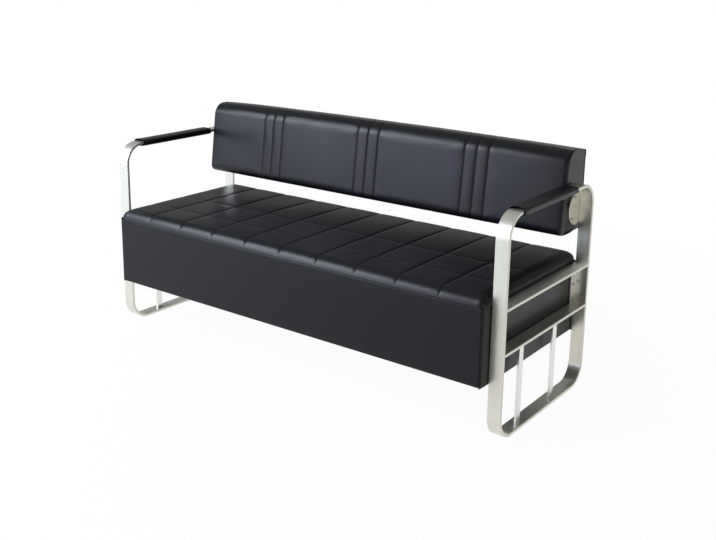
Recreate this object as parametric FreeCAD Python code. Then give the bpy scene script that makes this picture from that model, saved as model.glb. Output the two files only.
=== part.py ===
import FreeCAD, Part
import math
import os

os.makedirs("parts", exist_ok=True)
Vec = FreeCAD.Vector

# Three-seat waiting room bench. Millimetres and degrees.
# X runs along the bench, the front faces -Y, Z is up and the floor is Z = 0.

# Driving dimensions of the end loops, which are closed rings of flat bar. Rail heights are to their undersides
bench_length = 1650.0
loop_depth = 572.0
loop_height = 695.0
loop_bend_radius = 75.0
bar_width = 45.0
bar_thickness = 10.0
bar_edge_radius = 1.5
lower_rail_height = 270.0
upper_rail_height = 409.0
slat_width = 25.0
slat_thickness = 8.0
front_slat_setback = 152.0
rear_slat_setback = 194.0

# Driving dimensions of the plates and flanges that hold the seat and the backrest
bracket_width = 36.0
bracket_thickness = 5.0
bracket_hole_end_distance = 14.5
bracket_hole_count = 3
flange_diameter = 108.0
flange_thickness = 8.0
flange_screw_edge_distance = 12.0
flange_screw_first_angle = 110.0
flange_screw_count = 3
flange_drop_below_arm = 91.0
flange_height_on_back = 73.0

# Driving dimensions of the screws and the threaded inserts they go into
screw_diameter = 6.0
screw_head_diameter = 11.0
screw_head_height = 4.0
screw_socket_width = 4.0
screw_socket_depth = 2.0
screw_hole_clearance = 0.6
screw_leg_clearance = 2.0
thread_engagement = 11.0
insert_diameter = 12.0
insert_length = 15.0
insert_clearance = 0.2

# Driving dimensions of the arm sleeves
sleeve_front_gap = 5.0
sleeve_rear_gap = 61.0
arm_foam_thickness = 3.0
sleeve_thickness = 2.0
sleeve_clearance = 0.2

# Driving dimensions of the seat box
seat_front_overhang = 36.0
seat_rear_inset = 2.0
seat_drop_below_rail = 95.0
seat_seam_above_rail = 1.0
seat_pad_height = 33.0
seat_front_roll = 22.0
seat_rear_roll = 52.0
seat_end_roll = 45.0
seat_cover_edge = 1.5
seat_crown = 2.0
seat_columns = 10
seat_front_row = 112.0
seat_middle_row = 156.0
pillow_rise = 4.0
seam_rise = 1.0
apron_thickness = 12.0
seat_corner_radius = 10.0
seat_end_return = 17.0
seat_end_cover_thickness = 5.0
seat_rear_cover_thickness = 5.0
dust_cover_thickness = 2.0
seat_board_thickness = 15.0
seat_end_board_thickness = 18.0
deck_thickness = 12.0
seat_foam_thickness = 77.0
rib_thickness = 18.0
rib_height = 90.0
rib_count = 3
corner_block_size = 40.0

# Driving dimensions of the backrest
back_rear_height = 258.0
back_bottom_depth = 182.0
back_rear_overhang = 36.0
back_lean = 7.0
back_top_fall = 6.5
back_crown = 5.5
back_roll_radius = 50.0
back_lower_corner_radius = 18.0
back_pad_thickness = 22.0
back_end_cover_thickness = 5.0
back_rear_cover_thickness = 4.0
back_end_draw = 4.0
back_end_draw_length = 4.0
back_end_inset = 2.0
back_end_panel_draw = 27.0
back_end_panel_inset = 5.0
back_end_rear_step = 8.0
channel_group_pitch = 450.0
channel_pitch = 46.0
channel_depth = 6.0
channel_half_width = 12.0
back_end_board_thickness = 18.0
back_rail_depth = 40.0
back_rail_height = 40.0
back_panel_thickness = 4.0
back_stud_width = 45.0

# Places that follow from the end loops
half_length = bench_length / 2
loop_inner_x = half_length - bar_width
loop_mid_x = half_length - bar_width / 2
loop_front_y = -loop_depth / 2
loop_rear_y = loop_depth / 2
leg_front_y = loop_front_y + bar_thickness
leg_rear_y = loop_rear_y - bar_thickness
lower_rail_top = lower_rail_height + bar_thickness
upper_rail_top = upper_rail_height + bar_thickness

# Places that follow for the seat, which is clamped between the loops
seat_x = loop_inner_x
seat_front_y = loop_front_y - seat_front_overhang
seat_rear_y = loop_rear_y - seat_rear_inset
seat_underside = lower_rail_height - seat_drop_below_rail
seat_cover_z = upper_rail_top + seat_seam_above_rail
board_front_y = seat_front_y + apron_thickness
board_rear_y = seat_rear_y - seat_rear_cover_thickness
end_board_x = seat_x - seat_end_cover_thickness
box_x = end_board_x - seat_end_board_thickness
box_front_y = board_front_y + seat_board_thickness
box_rear_y = board_rear_y - seat_board_thickness
box_floor_z = seat_underside + dust_cover_thickness
deck_top_z = seat_cover_z - seat_foam_thickness
deck_z = deck_top_z - deck_thickness

# Places that follow for the backrest, which hangs between the two flanges
back_x = loop_inner_x - flange_thickness
back_cover_x = back_x - back_end_cover_thickness
back_box_x = back_cover_x - back_end_board_thickness
flange_z = loop_height - flange_drop_below_arm
back_underside = flange_z - flange_height_on_back
back_rear_y = loop_rear_y + back_rear_overhang
back_frame_y = back_rear_y - back_rear_cover_thickness
back_panel_y = back_frame_y - back_panel_thickness
back_foam_y = back_panel_y - back_rail_depth

# Places of the flange, whose rearmost screw stands just behind the rear leg
flange_radius = flange_diameter / 2
flange_screw_radius = flange_radius - flange_screw_edge_distance
flange_screw_step = 360.0 / flange_screw_count
flange_last_angle = math.radians(flange_screw_first_angle - flange_screw_step)
flange_last_screw_y = loop_rear_y + screw_head_diameter / 2 + screw_leg_clearance
flange_y = flange_last_screw_y - flange_screw_radius * math.cos(flange_last_angle)

screw_hole_radius = (screw_diameter + screw_hole_clearance) / 2
insert_hole_radius = (insert_diameter + insert_clearance) / 2


def box(x, y, z):
    """Solid box from its (low, high) spans along X, Y and Z."""
    return Part.makeBox(x[1] - x[0], y[1] - y[0], z[1] - z[0], Vec(x[0], y[0], z[0]))


def rod_along_x(radius, x, y, z):
    """Solid cylinder along X from x[0] to x[1], at the place (y, z)."""
    return Part.makeCylinder(radius, x[1] - x[0], Vec(x[0], y, z), Vec(1, 0, 0))


def rounded_corner(before, corner, after, radius):
    """Start, middle and end of the arc that rounds a corner between two straight sides."""
    to_before = (before[0] - corner[0], before[1] - corner[1])
    to_after = (after[0] - corner[0], after[1] - corner[1])
    length_before = math.hypot(*to_before)
    length_after = math.hypot(*to_after)
    u = (to_before[0] / length_before, to_before[1] / length_before)
    v = (to_after[0] / length_after, to_after[1] / length_after)
    half_angle = math.acos(u[0] * v[0] + u[1] * v[1]) / 2
    run = radius / math.tan(half_angle)
    bisector_length = math.hypot(u[0] + v[0], u[1] + v[1])
    reach = radius / math.sin(half_angle) - radius
    start = (corner[0] + u[0] * run, corner[1] + u[1] * run)
    end = (corner[0] + v[0] * run, corner[1] + v[1] * run)
    middle = (
        corner[0] + (u[0] + v[0]) / bisector_length * reach,
        corner[1] + (u[1] + v[1]) / bisector_length * reach,
    )
    return start, middle, end


def outline(corners, place):
    """Closed wire round corners (u, v, radius), where place turns (u, v) into a point in space."""
    arcs = []
    for i, (u, v, radius) in enumerate(corners):
        before = corners[i - 1][:2]
        after = corners[(i + 1) % len(corners)][:2]
        arcs.append(rounded_corner(before, (u, v), after, radius))
    edges = []
    for i, (start, middle, end) in enumerate(arcs):
        if corners[i][2] > 0:
            edges.append(Part.Arc(place(*start), place(*middle), place(*end)).toShape())
        next_start = arcs[(i + 1) % len(arcs)][0]
        edges.append(Part.LineSegment(place(*end), place(*next_start)).toShape())
    return Part.Wire(edges)


def rectangle(u, v, radius):
    """Corners of a rectangle from its spans, all with the same radius."""
    return [(u[0], v[0], radius), (u[1], v[0], radius), (u[1], v[1], radius), (u[0], v[1], radius)]


def prism_along_x(corners, x):
    """Solid with a Y-Z outline, from x[0] to x[1]."""
    wire = outline(corners, lambda y, z: Vec(x[0], y, z))
    return Part.Face(wire).extrude(Vec(x[1] - x[0], 0, 0))


def prism_along_y(corners, y):
    """Solid with an X-Z outline, from y[0] to y[1]."""
    wire = outline(corners, lambda x, z: Vec(x, y[0], z))
    return Part.Face(wire).extrude(Vec(0, y[1] - y[0], 0))


def prism_along_z(corners, z):
    """Solid with an X-Y outline, from z[0] to z[1]."""
    wire = outline(corners, lambda x, y: Vec(x, y, z[0]))
    return Part.Face(wire).extrude(Vec(0, 0, z[1] - z[0]))


def mirrored(shape):
    """The same piece at the other end of the bench."""
    return shape.mirror(Vec(0, 0, 0), Vec(1, 0, 0))


def save(name, shape):
    """Writes one sub-part, after a check that its solids are sound."""
    print(name, "valid" if shape.isValid() else "NOT VALID", len(shape.Solids), round(shape.Volume))
    shape.exportStep("parts/" + name + ".step")


def save_pair(name, right_shape):
    """Writes a right-hand sub-part and its mirrored left-hand twin."""
    save("right_" + name, right_shape)
    save("left_" + name, mirrored(right_shape))


# End loop: one flat bar bent to a ring, its width along X
def loop():
    x = (loop_inner_x, half_length)
    outside = rectangle((loop_front_y, loop_rear_y), (0, loop_height), loop_bend_radius)
    inside = rectangle(
        (leg_front_y, leg_rear_y),
        (bar_thickness, loop_height - bar_thickness),
        loop_bend_radius - bar_thickness,
    )
    ring = prism_along_x(outside, x).cut(prism_along_x(inside, x))
    side_edges = [edge for edge in ring.Edges if edge.BoundBox.XLength < bar_edge_radius]
    return ring.makeFillet(bar_edge_radius, side_edges)


# Rails and slats: flat bar with eased long edges, welded inside the loop
def rail(underside):
    corners = rectangle((loop_inner_x, half_length), (underside, underside + bar_thickness), bar_edge_radius)
    return prism_along_y(corners, (leg_front_y, leg_rear_y))


def slat(y):
    x = (loop_mid_x - slat_thickness / 2, loop_mid_x + slat_thickness / 2)
    corners = rectangle(x, (y - slat_width / 2, y + slat_width / 2), bar_edge_radius)
    return prism_along_z(corners, (bar_thickness, lower_rail_height))


# Mounting plates between the rails, against the seat's end
bracket_spans = [(leg_front_y, leg_front_y + bracket_width), (leg_rear_y - bracket_width, leg_rear_y)]


def bracket_hole_heights():
    low = lower_rail_top + bracket_hole_end_distance
    high = upper_rail_height - bracket_hole_end_distance
    step = (high - low) / (bracket_hole_count - 1)
    return [low + step * i for i in range(bracket_hole_count)]


seat_screw_places = [((y[0] + y[1]) / 2, z) for y in bracket_spans for z in bracket_hole_heights()]


def flange_screw_place(index):
    angle = math.radians(flange_screw_first_angle + flange_screw_step * index)
    y = flange_y + flange_screw_radius * math.cos(angle)
    return (y, flange_z + flange_screw_radius * math.sin(angle))


flange_screw_places = [flange_screw_place(i) for i in range(flange_screw_count)]


def drilled(solid, places, radius, x):
    """The solid with a hole along X at each (y, z) place."""
    return solid.cut(Part.Compound([rod_along_x(radius, x, y, z) for y, z in places]))


def bracket(y):
    x = (loop_inner_x, loop_inner_x + bracket_thickness)
    plate = box(x, y, (lower_rail_top, upper_rail_height))
    return drilled(plate, seat_screw_places, screw_hole_radius, x)


# Round flange, welded to the rear leg's inner edge and screwed to the backrest's end
def flange():
    x = (back_x, loop_inner_x)
    disc = rod_along_x(flange_radius, x, flange_y, flange_z)
    return drilled(disc, flange_screw_places, screw_hole_radius, x)


# Socket screws: the head stands on head_x, the shank runs towards the middle of the bench
def screw(head_x, tip_x, y, z):
    head_end = head_x + screw_head_height
    head = rod_along_x(screw_head_diameter / 2, (head_x, head_end), y, z)
    rim = [edge for edge in head.Edges if edge.BoundBox.XMin > head_end - screw_socket_depth / 2]
    head = head.makeChamfer(screw_head_height / 5, rim)
    socket_reach = screw_socket_width / math.sqrt(3)
    points = []
    for i in range(7):
        angle = math.radians(60 * i)
        offset = Vec(0, socket_reach * math.cos(angle), socket_reach * math.sin(angle))
        points.append(Vec(head_end, y, z) + offset)
    socket = Part.Face(Part.makePolygon(points)).extrude(Vec(-screw_socket_depth, 0, 0))
    shank = rod_along_x(screw_diameter / 2, (tip_x, head_x), y, z)
    return head.cut(socket).fuse(shank).removeSplitter()


def insert(x_end, y, z):
    """Threaded insert flush with the board's face at x_end."""
    x = (x_end - insert_length, x_end)
    sleeve = rod_along_x(insert_diameter / 2, x, y, z)
    return sleeve.cut(rod_along_x(screw_hole_radius, x, y, z))


def seat_screws():
    head_x = loop_inner_x + bracket_thickness
    tip_x = end_board_x - thread_engagement
    return Part.Compound([screw(head_x, tip_x, y, z) for y, z in seat_screw_places])


def flange_screws():
    tip_x = back_cover_x - thread_engagement
    return Part.Compound([screw(loop_inner_x, tip_x, y, z) for y, z in flange_screw_places])


# Arm sleeve and the thin foam under it, both wrapped round the straight of the arm bar
arm_span = (
    loop_front_y + loop_bend_radius + sleeve_front_gap,
    loop_rear_y - loop_bend_radius - sleeve_rear_gap,
)


def wrapped_bar(margin, radius):
    """Prism round the arm bar that stands off it by margin on all four sides."""
    x = (loop_inner_x - margin, half_length + margin)
    z = (loop_height - bar_thickness - margin, loop_height + margin)
    return prism_along_y(rectangle(x, z, radius), arm_span)


def arm_foam():
    return wrapped_bar(arm_foam_thickness, arm_foam_thickness).cut(wrapped_bar(0, 0))


def arm_sleeve():
    inner = arm_foam_thickness + sleeve_clearance
    outer = inner + sleeve_thickness
    return wrapped_bar(outer, outer).cut(wrapped_bar(inner, inner))


# Seat top: a quilted pad with rolled edges, lofted along the bench through outlines of lines and arcs
def arc_between(start, end, rise):
    """Start, middle and end of an arc whose middle stands above its chord by rise."""
    middle = ((start[0] + end[0]) / 2, (start[1] + end[1]) / 2 + rise)
    return start, middle, end


def seat_section(x, share, crown, pillow):
    """Outline at x: rolled front edge, three padded rows between sewn seams, long fall to the rear edge.

    Share says how much of the pad's full height is reached at x."""
    base = seat_cover_z + seat_cover_edge
    rise = (seat_pad_height - seat_cover_edge) * share
    top = base + rise
    front_rise = min(rise, seat_front_roll * share)
    front_seam = seat_front_y + seat_front_roll
    rear_seam = seat_rear_y - seat_rear_roll
    first_row = front_seam + seat_front_row
    second_row = first_row + seat_middle_row
    bulge = 1 - math.sqrt(0.5)  # how far a quarter circle's middle stays from its box's corner
    front_edge = (seat_front_y, top - front_rise)
    rear_edge = (seat_rear_y, base)
    front_roll = (seat_front_y + seat_front_roll * bulge, top - front_rise * bulge)
    rear_roll = (seat_rear_y - seat_rear_roll * bulge, top - rise * bulge)
    seams = [(front_seam, top), (first_row, top + crown), (second_row, top + crown), (rear_seam, top)]
    arcs = [(front_edge, front_roll, seams[0])]
    for start, end in zip(seams, seams[1:]):
        arcs.append(arc_between(start, end, pillow))
    arcs.append((seams[-1], rear_roll, rear_edge))
    edges = []
    for start, middle, end in arcs:
        edges.append(Part.Arc(Vec(x, *start), Vec(x, *middle), Vec(x, *end)).toShape())
    corners = [rear_edge, (seat_rear_y, seat_cover_z), (seat_front_y, seat_cover_z), front_edge]
    for start, end in zip(corners, corners[1:]):
        edges.append(Part.LineSegment(Vec(x, *start), Vec(x, *end)).toShape())
    return Part.Wire(edges)


def seat_top():
    """One loft: a rounded end, the columns of pillows, and the other rounded end."""
    column = 2 * seat_x / seat_columns
    stations = []
    for angle in (6, 20, 38, 58, 76):
        turn = math.radians(angle)
        stations.append((seat_end_roll * (1 - math.cos(turn)), math.sin(turn)))
    sections = [(reach - seat_x, share, seam_rise) for reach, share in stations]
    for i in range(seat_columns):
        for part in (0.0, 0.1, 0.25, 0.5, 0.75, 0.9):
            x = -seat_x + column * (i + part)
            pillow = seam_rise + (pillow_rise - seam_rise) * math.sqrt(math.sin(math.pi * part))
            if abs(x) < seat_x - stations[-1][0]:
                sections.append((x, 1.0, pillow))
    sections += [(seat_x - reach, share, seam_rise) for reach, share in reversed(stations)]
    wires = []
    for x, share, pillow in sections:
        crown = seat_crown * (1 - (x / seat_x) ** 2) + seam_rise / 2
        wires.append(seat_section(x, share, crown, pillow))
    return Part.makeLoft(wires, True, True)


# Seat covers: padded front apron, thin end and rear covers, dust cover underneath
cover_z = (seat_underside, seat_cover_z)


def apron():
    half = seat_x - seat_end_return
    return box((-half, half), (seat_front_y, board_front_y), cover_z)


def seat_end_cover():
    """End panel that turns the front corner and meets the apron in an upright seam."""
    x = (end_board_x, seat_x)
    corners = [
        (seat_x, seat_front_y, seat_corner_radius),
        (seat_x, board_rear_y, 0),
        (end_board_x, board_rear_y, 0),
        (end_board_x, board_front_y, 0),
        (seat_x - seat_end_return, board_front_y, 0),
        (seat_x - seat_end_return, seat_front_y, 0),
    ]
    return drilled(prism_along_z(corners, cover_z), seat_screw_places, screw_hole_radius, x)


def seat_rear_cover():
    return box((-seat_x, seat_x), (board_rear_y, seat_rear_y), cover_z)


def dust_cover():
    return box((-end_board_x, end_board_x), (board_front_y, board_rear_y), (seat_underside, box_floor_z))


# Seat box: boards, corner blocks and ribs under a deck, with the foam between the end boards
def seat_end_board():
    panel = box((box_x, end_board_x), (board_front_y, board_rear_y), (box_floor_z, seat_cover_z))
    x = (end_board_x - insert_length, end_board_x)
    return drilled(panel, seat_screw_places, insert_hole_radius, x)


def seat_long_board(y):
    return box((-box_x, box_x), y, (box_floor_z, deck_z))


def corner_blocks():
    blocks = []
    for y in ((box_front_y, box_front_y + corner_block_size), (box_rear_y - corner_block_size, box_rear_y)):
        block = box((box_x - corner_block_size, box_x), y, (box_floor_z, deck_z))
        blocks += [block, mirrored(block)]
    return Part.Compound(blocks)


def rib(index):
    x = -box_x + 2 * box_x * (index + 1) / (rib_count + 1)
    span = (x - rib_thickness / 2, x + rib_thickness / 2)
    return box(span, (box_front_y, box_rear_y), (deck_z - rib_height, deck_z))


def deck():
    return box((-box_x, box_x), (board_front_y, board_rear_y), (deck_z, deck_top_z))


def seat_foam():
    return box((-box_x, box_x), (board_front_y, board_rear_y), (deck_top_z, seat_cover_z))


def seat_inserts():
    inserts = [insert(end_board_x, y, z) for y, z in seat_screw_places]
    return Part.Compound(inserts + [mirrored(piece) for piece in inserts])


# Backrest outline in Y-Z: leaning front, rolled top that falls to the rear, upright rear, flat underside
def back_corners(inset, rear_y, lower_radius, draw=0, crown=0):
    """Corners of the outline, moved in by inset all round, front drawn back by draw, top raised by crown."""
    lean = math.radians(back_lean)
    fall = math.radians(back_top_fall)
    bottom = back_underside + inset
    front_at_underside = back_rear_y - back_bottom_depth + draw + inset / math.cos(lean)
    top_at_rear = back_underside + back_rear_height + crown - inset / math.cos(fall)
    rise = top_at_rear - back_underside + math.tan(fall) * (back_rear_y - front_at_underside)
    peak_z = rise / (1 + math.tan(fall) * math.tan(lean))
    peak_y = front_at_underside + peak_z * math.tan(lean)
    front_y = front_at_underside + inset * math.tan(lean)
    rear_top = top_at_rear + (back_rear_y - rear_y) * math.tan(fall)
    return [
        (front_y, bottom, lower_radius),
        (peak_y, back_underside + peak_z, back_roll_radius - inset),
        (rear_y, rear_top, 0),
        (rear_y, bottom, 0),
    ]


channel_lines = []
for group in (-1, 0, 1):
    for line in (-1, 0, 1):
        channel_lines.append(group * channel_group_pitch + line * channel_pitch)


def back_end_share(x):
    """0 where the front is full, rising to 1 over the rounded stretch at each end."""
    return max(0, 1 - (back_cover_x - abs(x)) / back_end_draw_length)


def back_draw(x):
    """How far the front is drawn back at x, as a quarter of an ellipse."""
    return back_end_draw * (1 - math.sqrt(1 - back_end_share(x) ** 2))


def back_crown_at(x):
    """How far the top edge arches up at x, most in the middle of the bench."""
    return back_crown * (1 - (x / back_cover_x) ** 2)


def back_inset(x):
    """How far the whole cover is drawn in at x: at each sewn channel and a little at both ends."""
    inset = back_end_inset * back_end_share(x) ** 2
    for line in channel_lines:
        inset += channel_depth * max(0, 1 - abs(x - line) / channel_half_width) ** 2
    return inset


def back_front_cover():
    """Padded cover over front, top and underside: a loft along X, hollowed for what it wraps."""
    stations = []
    for share in (0, 0.03, 0.12, 0.3, 0.6, 1):
        stations += [side * (back_cover_x - share * back_end_draw_length) for side in (-1, 1)]
    for line in channel_lines:
        for share in (-1, -0.45, 0, 0.45, 1):
            stations.append(line + share * channel_half_width)
    wires = []
    for x in sorted(stations):
        corners = back_corners(
            back_inset(x), back_frame_y, back_lower_corner_radius, back_draw(x), back_crown_at(x)
        )
        wires.append(outline(corners, lambda y, z, x=x: Vec(x, y, z)))
    padded = Part.makeLoft(wires, True, True)
    hollow = back_corners(back_pad_thickness, back_rear_y, 0)
    return padded.cut(prism_along_x(hollow, (-back_x, back_x)))


def back_end_cover():
    """End panel whose edge slopes in from the front cover's edge to the flat face against the flange."""
    x = (back_cover_x, back_x)
    rear_y = back_rear_y - back_end_rear_step
    steps = [
        (x[0], back_corners(back_end_inset, rear_y, back_lower_corner_radius, back_end_draw)),
        (x[1], back_corners(back_end_panel_inset, rear_y, back_lower_corner_radius, back_end_panel_draw)),
    ]
    wires = [outline(corners, lambda y, z, at=at: Vec(at, y, z)) for at, corners in steps]
    return drilled(Part.makeLoft(wires, True, True), flange_screw_places, screw_hole_radius, x)


def back_rear_cover():
    """Thin rear cover whose top edge follows the arch of the front cover."""
    low, high = back_underside, back_underside + back_rear_height
    left, right = Vec(-back_cover_x, back_frame_y, high), Vec(back_cover_x, back_frame_y, high)
    middle = Vec(0, back_frame_y, high + back_crown)
    arch = Part.Arc(left, middle, right).toShape()
    sides = Part.makePolygon([right, Vec(right.x, right.y, low), Vec(left.x, left.y, low), left])
    face = Part.Face(Part.Wire([arch] + sides.Edges))
    return face.extrude(Vec(0, back_rear_y - back_frame_y, 0))


# Backrest frame: shaped end boards, two long rails, studs and a thin panel behind, foam in front
def back_end_board():
    x = (back_box_x, back_cover_x)
    panel = prism_along_x(back_corners(back_pad_thickness, back_frame_y, 0), x)
    insert_x = (back_cover_x - insert_length, back_cover_x)
    return drilled(panel, flange_screw_places, insert_hole_radius, insert_x)


back_frame_corners = back_corners(back_pad_thickness, back_frame_y, 0)
back_frame_bottom = back_frame_corners[3][1]
back_frame_top = back_frame_corners[2][1]
back_frame_x = (-back_box_x, back_box_x)


def back_panel():
    return box(back_frame_x, (back_panel_y, back_frame_y), (back_frame_bottom, back_frame_top))


def back_rail(z):
    return box(back_frame_x, (back_foam_y, back_panel_y), z)


def back_stud(x):
    span = (x - back_stud_width / 2, x + back_stud_width / 2)
    z = (back_frame_bottom + back_rail_height, back_frame_top - back_rail_height)
    return box(span, (back_foam_y, back_panel_y), z)


def back_foam():
    return prism_along_x(back_corners(back_pad_thickness, back_foam_y, 0), back_frame_x)


def back_inserts():
    inserts = [insert(back_cover_x, y, z) for y, z in flange_screw_places]
    return Part.Compound(inserts + [mirrored(piece) for piece in inserts])


# The end frames
save_pair("loop", loop())
save_pair("upper_rail", rail(upper_rail_height))
save_pair("lower_rail", rail(lower_rail_height))
save_pair("front_slat", slat(loop_front_y + front_slat_setback))
save_pair("rear_slat", slat(loop_rear_y - rear_slat_setback))
save_pair("front_seat_plate", bracket(bracket_spans[0]))
save_pair("rear_seat_plate", bracket(bracket_spans[1]))
save_pair("back_flange", flange())
save_pair("seat_screws", seat_screws())
save_pair("flange_screws", flange_screws())
save_pair("arm_foam", arm_foam())
save_pair("arm_sleeve", arm_sleeve())

# The seat
save("seat_quilted_top", seat_top())
save("seat_apron", apron())
save_pair("seat_end_cover", seat_end_cover())
save("seat_rear_cover", seat_rear_cover())
save("seat_dust_cover", dust_cover())
save_pair("seat_end_board", seat_end_board())
save("seat_front_board", seat_long_board((board_front_y, box_front_y)))
save("seat_rear_board", seat_long_board((box_rear_y, board_rear_y)))
save("seat_corner_blocks", corner_blocks())
for number in range(rib_count):
    save("seat_rib_" + str(number + 1), rib(number))
save("seat_deck", deck())
save("seat_foam", seat_foam())
save("seat_inserts", seat_inserts())

# The backrest
save("back_front_cover", back_front_cover())
save_pair("back_end_cover", back_end_cover())
save("back_rear_cover", back_rear_cover())
save_pair("back_end_board", back_end_board())
save("back_top_rail", back_rail((back_frame_top - back_rail_height, back_frame_top)))
save("back_bottom_rail", back_rail((back_frame_bottom, back_frame_bottom + back_rail_height)))
save_pair("back_stud", back_stud(back_box_x / 3))
save("back_panel", back_panel())
save("back_foam", back_foam())
save("back_inserts", back_inserts())
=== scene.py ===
# %% [markdown]
# # Waiting room sofa
# The sofa is a black upholstered seat box and a backrest, held between two closed loops of brushed flat bar.
# The rigid pieces come packed from the CAD part and stay where they are. This lesson dresses them: it gives
# every node a finish, and sews the soft covers as new meshes, since foam under leatherette is never a plain solid.

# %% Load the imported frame
import math

import bmesh
import bpy
import numpy as np
from mathutils import Matrix, Vector


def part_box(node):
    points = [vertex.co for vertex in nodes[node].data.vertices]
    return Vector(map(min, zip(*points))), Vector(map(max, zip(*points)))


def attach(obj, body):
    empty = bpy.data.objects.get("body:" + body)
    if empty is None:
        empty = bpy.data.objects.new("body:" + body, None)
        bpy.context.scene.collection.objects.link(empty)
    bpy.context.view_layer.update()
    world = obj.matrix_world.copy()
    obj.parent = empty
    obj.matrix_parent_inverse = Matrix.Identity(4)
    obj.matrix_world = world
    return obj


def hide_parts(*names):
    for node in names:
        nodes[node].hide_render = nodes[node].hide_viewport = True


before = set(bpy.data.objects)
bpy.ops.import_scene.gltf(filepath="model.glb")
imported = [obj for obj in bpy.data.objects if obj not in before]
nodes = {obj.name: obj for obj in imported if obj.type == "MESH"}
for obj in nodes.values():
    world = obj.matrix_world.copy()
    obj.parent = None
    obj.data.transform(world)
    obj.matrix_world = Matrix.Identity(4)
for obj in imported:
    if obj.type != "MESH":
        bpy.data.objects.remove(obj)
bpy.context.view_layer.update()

scene = bpy.context.scene
scene.view_settings.view_transform = "Standard"


# %% [markdown]
# ## Camera
# The photograph was taken from the front right, a little above the backrest. A camera could be aimed by eye, but
# its place, angles and focal length were solved from edges of the steel loops, so they are written down as they are.
# The picture was cropped above the lens axis, which is what the vertical shift is for.

# %% Set the camera
photo_width = 716
focal_pixels = 977.07
axis_above_middle = 75.16
camera_place = (2.0437, -2.6381, 1.3895)
camera_yaw, camera_pitch, camera_roll = (math.radians(angle) for angle in (36.61, 13.73, 0.82))


def aim(yaw, pitch, roll):
    """Camera axes: right, up and backward. Yaw turns from +Y to -X, pitch looks down, and roll leans the picture."""
    ahead = Vector((-math.sin(yaw) * math.cos(pitch), math.cos(yaw) * math.cos(pitch), -math.sin(pitch)))
    level = Vector((math.cos(yaw), math.sin(yaw), 0))
    above = level.cross(ahead)
    right = level * math.cos(roll) + above * math.sin(roll)
    up = above * math.cos(roll) - level * math.sin(roll)
    return right, up, -ahead


lens = bpy.data.cameras.new("photo_camera")
lens.sensor_width = 36.0
lens.lens = focal_pixels / photo_width * lens.sensor_width
lens.shift_y = -axis_above_middle / photo_width
camera = bpy.data.objects.new("photo_camera", lens)
camera_axes = Matrix(aim(camera_yaw, camera_pitch, camera_roll)).transposed()
camera.matrix_world = Matrix.Translation(camera_place) @ camera_axes.to_4x4()
scene.collection.objects.link(camera)
scene.camera = camera
print("camera at", camera_place, "lens", round(lens.lens, 2), "mm")


# %% [markdown]
# ## Node maths
# A finish is a small network of nodes. Wiring it by hand takes a line per link, so one class wraps a socket and lets
# the usual operators add the Math nodes. Every other node comes from one method that takes the node's type, its
# settings and what goes into its sockets.

# %% Wrap sockets so that finishes read like formulas
class Value:
    """An output socket. An operator on it adds one Math node to the same tree and gives that node's output."""

    def __init__(self, tree, socket):
        self.tree = tree
        self.socket = socket

    def maths(self, operation, first, second):
        return self.tree.node("ShaderNodeMath", {"operation": operation}, {0: first, 1: second})

    def __add__(self, other):
        return self.maths("ADD", self, other)

    def __sub__(self, other):
        return self.maths("SUBTRACT", self, other)

    def __rsub__(self, other):
        return self.maths("SUBTRACT", other, self)

    def __mul__(self, other):
        return self.maths("MULTIPLY", self, other)

    __radd__ = __add__
    __rmul__ = __mul__


class Tree:
    """A node tree that is filled through one method."""

    def __init__(self, owner):
        owner.use_nodes = True
        self.owner = owner
        self.nodes = owner.node_tree.nodes
        self.links = owner.node_tree.links
        self.nodes.clear()

    def node(self, kind, settings=None, sockets=None, output=0):
        """Adds a node of a type, applies its settings, then gives each socket a number, a colour or a link."""
        made = self.nodes.new(kind)
        for name, setting in (settings or {}).items():
            setattr(made, name, setting)
        for name, value in (sockets or {}).items():
            if isinstance(value, Value):
                self.links.new(value.socket, made.inputs[name])
            else:
                made.inputs[name].default_value = value
        return Value(self, made.outputs[output]) if made.outputs else None

    def pattern_place(self, scale=(1, 1, 1)):
        """Object coordinates, in metres, times a scale along each axis."""
        place = self.node("ShaderNodeTexCoord", output=3)
        return self.node("ShaderNodeMapping", sockets={"Vector": place, "Scale": scale})

    def noise(self, place, scale, detail, roughness=0.5):
        """Cloudy noise from 0 to 1, with so many clouds to a metre of the place."""
        sockets = {"Vector": place, "Scale": scale, "Detail": detail, "Roughness": roughness}
        return self.node("ShaderNodeTexNoise", sockets=sockets)

    def bump(self, height, strength, distance):
        """Normals tilted by the slope of a height, whose 1 is worth a distance in metres."""
        return self.node("ShaderNodeBump", sockets={"Strength": strength, "Distance": distance, "Height": height})

    def ramp(self, value, places, results):
        """Straight line from results[0] at places[0] to results[1] at places[1], level beyond both."""
        sockets = dict(enumerate((value, *places, *results)))
        return self.node("ShaderNodeMapRange", sockets=sockets)

    def blend_colours(self, mask, at_zero, at_one):
        """Colour between two, by a mask from 0 to 1."""
        return self.node("ShaderNodeMix", {"data_type": "RGBA"}, {0: mask, 6: at_zero, 7: at_one}, output=2)

    def surface(self, **sockets):
        """One surface shader with these sockets, wired to the output of the material that is returned."""
        named = {name.replace("_", " "): value for name, value in sockets.items()}
        shader = self.node("ShaderNodeBsdfPrincipled", sockets=named)
        self.node("ShaderNodeOutputMaterial", sockets={"Surface": shader})
        return self.owner


print("socket maths ready")
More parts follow.
